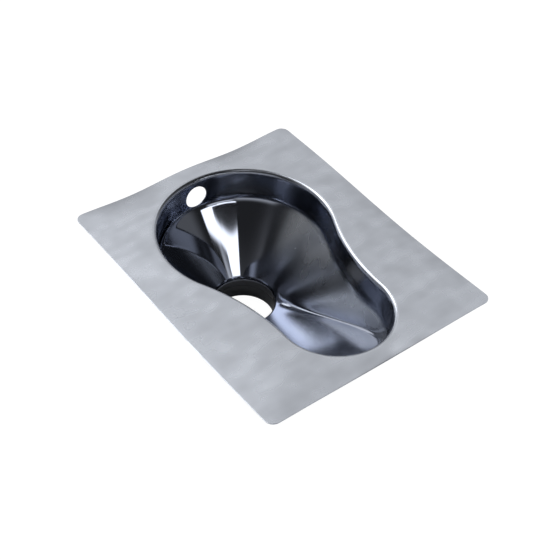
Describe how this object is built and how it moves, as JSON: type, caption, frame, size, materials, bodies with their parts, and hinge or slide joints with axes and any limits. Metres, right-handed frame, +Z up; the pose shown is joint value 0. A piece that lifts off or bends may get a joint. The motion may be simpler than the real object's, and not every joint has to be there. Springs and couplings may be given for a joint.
{
  "type": "squat toilet",
  "caption": "Pressed stainless steel squat toilet pan: rectangular deck, deep pear-shaped bowl with a funnel to a round drain spigot, rear flush hole and anchor lugs under the deck.",
  "frame": {"origin": "middle of the deck, in the plane of the bowl's mouth, which is level with the finished floor", "axes": "+X across the pan, +Y from the narrow front end to the wide rear end with the flush hole, +Z up"},
  "size_m": [0.43, 0.53, 0.211],
  "materials": {
    "pan_steel": "satin deck, mirror-polished bowl",
    "tube_steel": "drawn tube, satin",
    "weld_steel": "wire-brushed weld",
    "strip_steel": "mill finish strip"
  },
  "bodies": {
    "root": {"pan": "pan_steel", "outlet_spigot": "tube_steel", "outlet_weld": "weld_steel", "anchor_lug_rear_left": "strip_steel", "anchor_lug_rear_right": "strip_steel", "anchor_lug_front_left": "strip_steel", "anchor_lug_front_right": "strip_steel"}
  },
  "joints": []
}
